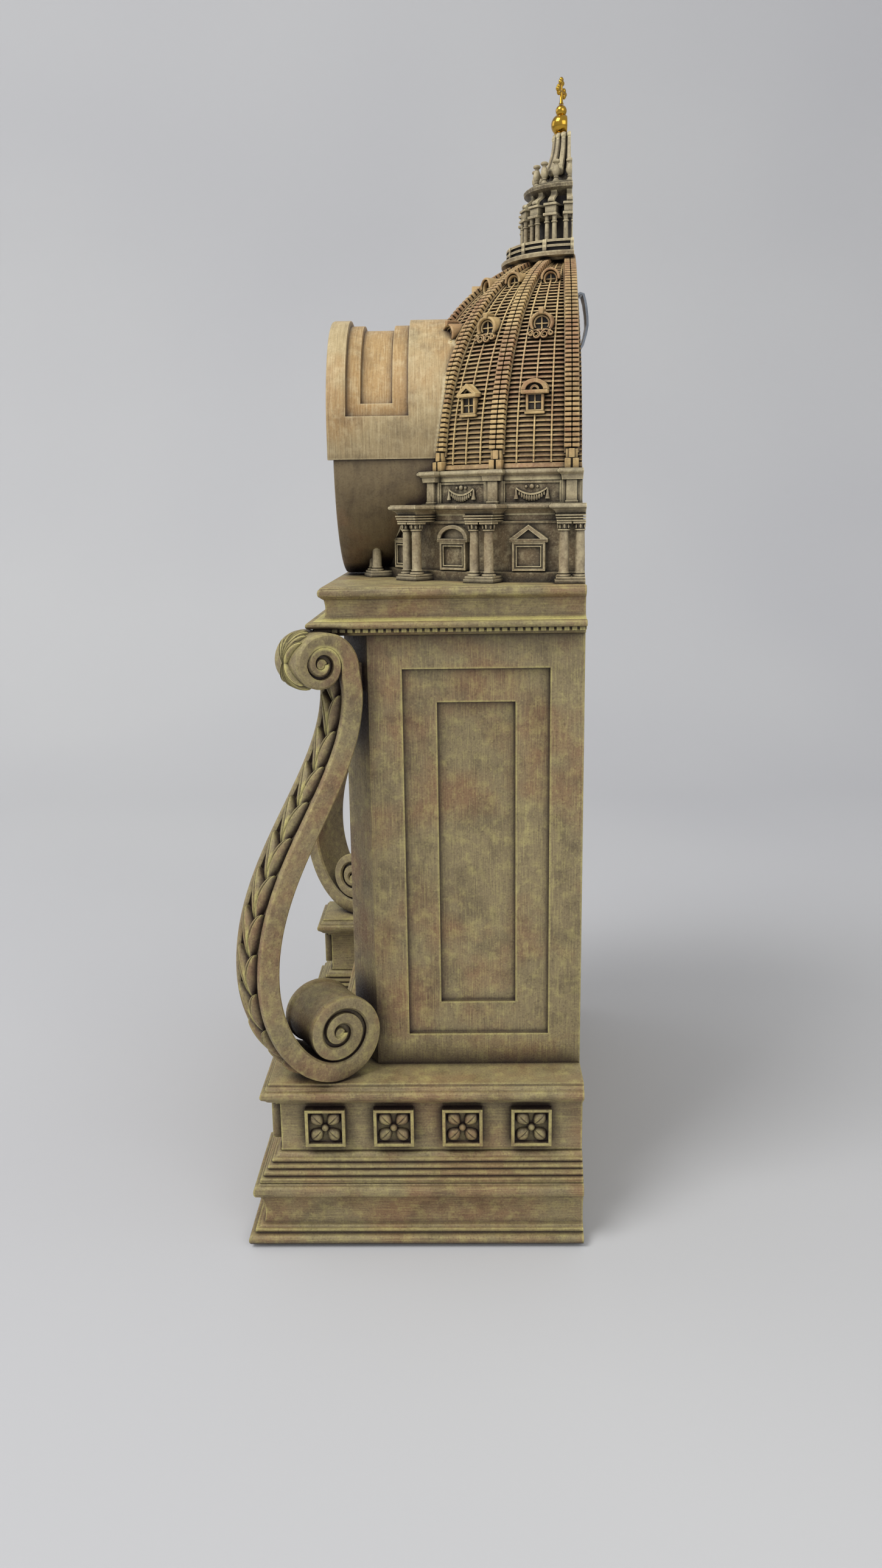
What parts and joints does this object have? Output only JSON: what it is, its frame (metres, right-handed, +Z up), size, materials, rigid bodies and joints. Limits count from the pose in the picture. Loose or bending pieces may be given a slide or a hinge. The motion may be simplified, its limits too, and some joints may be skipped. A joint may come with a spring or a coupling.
{
  "type": "mantel clock",
  "caption": "Desk clock shaped as a half dome over a columned storey on a panelled pedestal, with scroll consoles, moulded base, side drum and removable quartz insert.",
  "frame": {"origin": "middle of the bounding box, on the ground plane under the foot pads", "axes": "+X to the clock's left-hand side as seen from behind, dial faces -Y, flat back faces +Y, +Z up"},
  "size_m": [0.2208, 0.126, 0.4002],
  "materials": {
    "painted_resin_tan": "hand-painted cast resin, weathered tan with yellow-green rubbed edges",
    "painted_resin_grey": "hand-painted cast resin, weathered grey-tan",
    "painted_resin_brown": "hand-painted cast resin, brown roof tiles",
    "foot_pad_black": "matt",
    "gilt_brass": "bright gilt",
    "grey_steel": "dull grey",
    "bezel_brass": "polished",
    "clear_lens": "clear",
    "insert_cup_metal": "satin",
    "gasket_black": "matt",
    "dial_card": "matt cream",
    "movement_plastic": "fine matt",
    "coil_copper": "enamelled copper wire",
    "board_green": "green board",
    "battery_steel": "bright",
    "contact_brass": "spring brass",
    "hand_black": "black",
    "wheel_plastic": "natural white"
  },
  "bodies": {
    "case": {"foot_front_left": "foot_pad_black", "foot_front_right": "foot_pad_black", "foot_back_left": "foot_pad_black", "foot_back_right": "foot_pad_black", "base_plinth": "painted_resin_tan", "base_step_moulding": "painted_resin_tan", "base_frieze_cap": "painted_resin_tan", "side_tile_right_1": "painted_resin_tan", "side_tile_left_1": "painted_resin_tan", "side_tile_right_2": "painted_resin_tan", "side_tile_left_2": "painted_resin_tan", "side_tile_right_3": "painted_resin_tan", "side_tile_left_3": "painted_resin_tan", "side_tile_right_4": "painted_resin_tan", "side_tile_left_4": "painted_resin_tan", "front_tile_right": "painted_resin_tan", "front_tile_left": "painted_resin_tan", "pedestal": "painted_resin_tan", "cornice_dentil_bed": "painted_resin_tan", "cornice_slab": "painted_resin_tan", "scroll_console_right": "painted_resin_tan", "scroll_console_left": "painted_resin_tan", "temple_storey": "painted_resin_grey", "attic_storey": "painted_resin_grey", "dome": "painted_resin_brown", "lantern_gallery": "painted_resin_grey", "lantern_storey": "painted_resin_grey", "lantern_spire": "painted_resin_grey", "finial_orb": "gilt_brass", "finial_cross": "gilt_brass", "wall_hanger": "grey_steel", "clock_drum_hood": "painted_resin_tan"},
    "insert": {"insert_bezel": "bezel_brass", "insert_lens": "clear_lens", "insert_cup": "insert_cup_metal", "insert_gasket": "gasket_black", "dial": "dial_card", "movement_case": "movement_plastic", "movement_lid": "movement_plastic", "drive_coil": "coil_copper", "circuit_board": "board_green", "battery": "battery_steel", "battery_contact": "contact_brass"},
    "hour": {"hour_hand": "hand_black", "hour_wheel": "wheel_plastic"},
    "minute": {"minute_hand": "hand_black", "cannon_pinion": "wheel_plastic"},
    "second": {"second_hand_wheel": "hand_black"},
    "setting": {"minute_wheel": "wheel_plastic", "setting_knob": "movement_plastic"},
    "cap": {"battery_cap": "movement_plastic"}
  },
  "joints": [
    {"name": "insert_slide", "type": "slide", "parent": "case", "child": "insert", "axis": [0, -1, 0], "range_m": [0, 0.034]},
    {"name": "minute_turn", "type": "hinge", "parent": "insert", "child": "minute", "pos_m": [0, -0.00641, 0.268], "axis": [0, 1, 0], "continuous": true},
    {"name": "hour_turn", "type": "hinge", "parent": "insert", "child": "hour", "pos_m": [0, -0.00641, 0.268], "axis": [0, 1, 0], "continuous": true},
    {"name": "second_turn", "type": "hinge", "parent": "insert", "child": "second", "pos_m": [0, -0.00641, 0.268], "axis": [0, 1, 0], "continuous": true},
    {"name": "setting_turn", "type": "hinge", "parent": "insert", "child": "setting", "pos_m": [-0.00688, -0.00641, 0.26318], "axis": [0, 1, 0], "continuous": true},
    {"name": "cap_turn", "type": "hinge", "parent": "insert", "child": "cap", "pos_m": [0.013, -0.00242, 0.256], "axis": [0, 1, 0], "range_deg": [0, 45]}
  ],
  "couplings": [
    {"joint": "hour_turn", "follows": "minute_turn", "ratio": 0.083333},
    {"joint": "setting_turn", "follows": "minute_turn", "ratio": -0.33333}
  ]
}
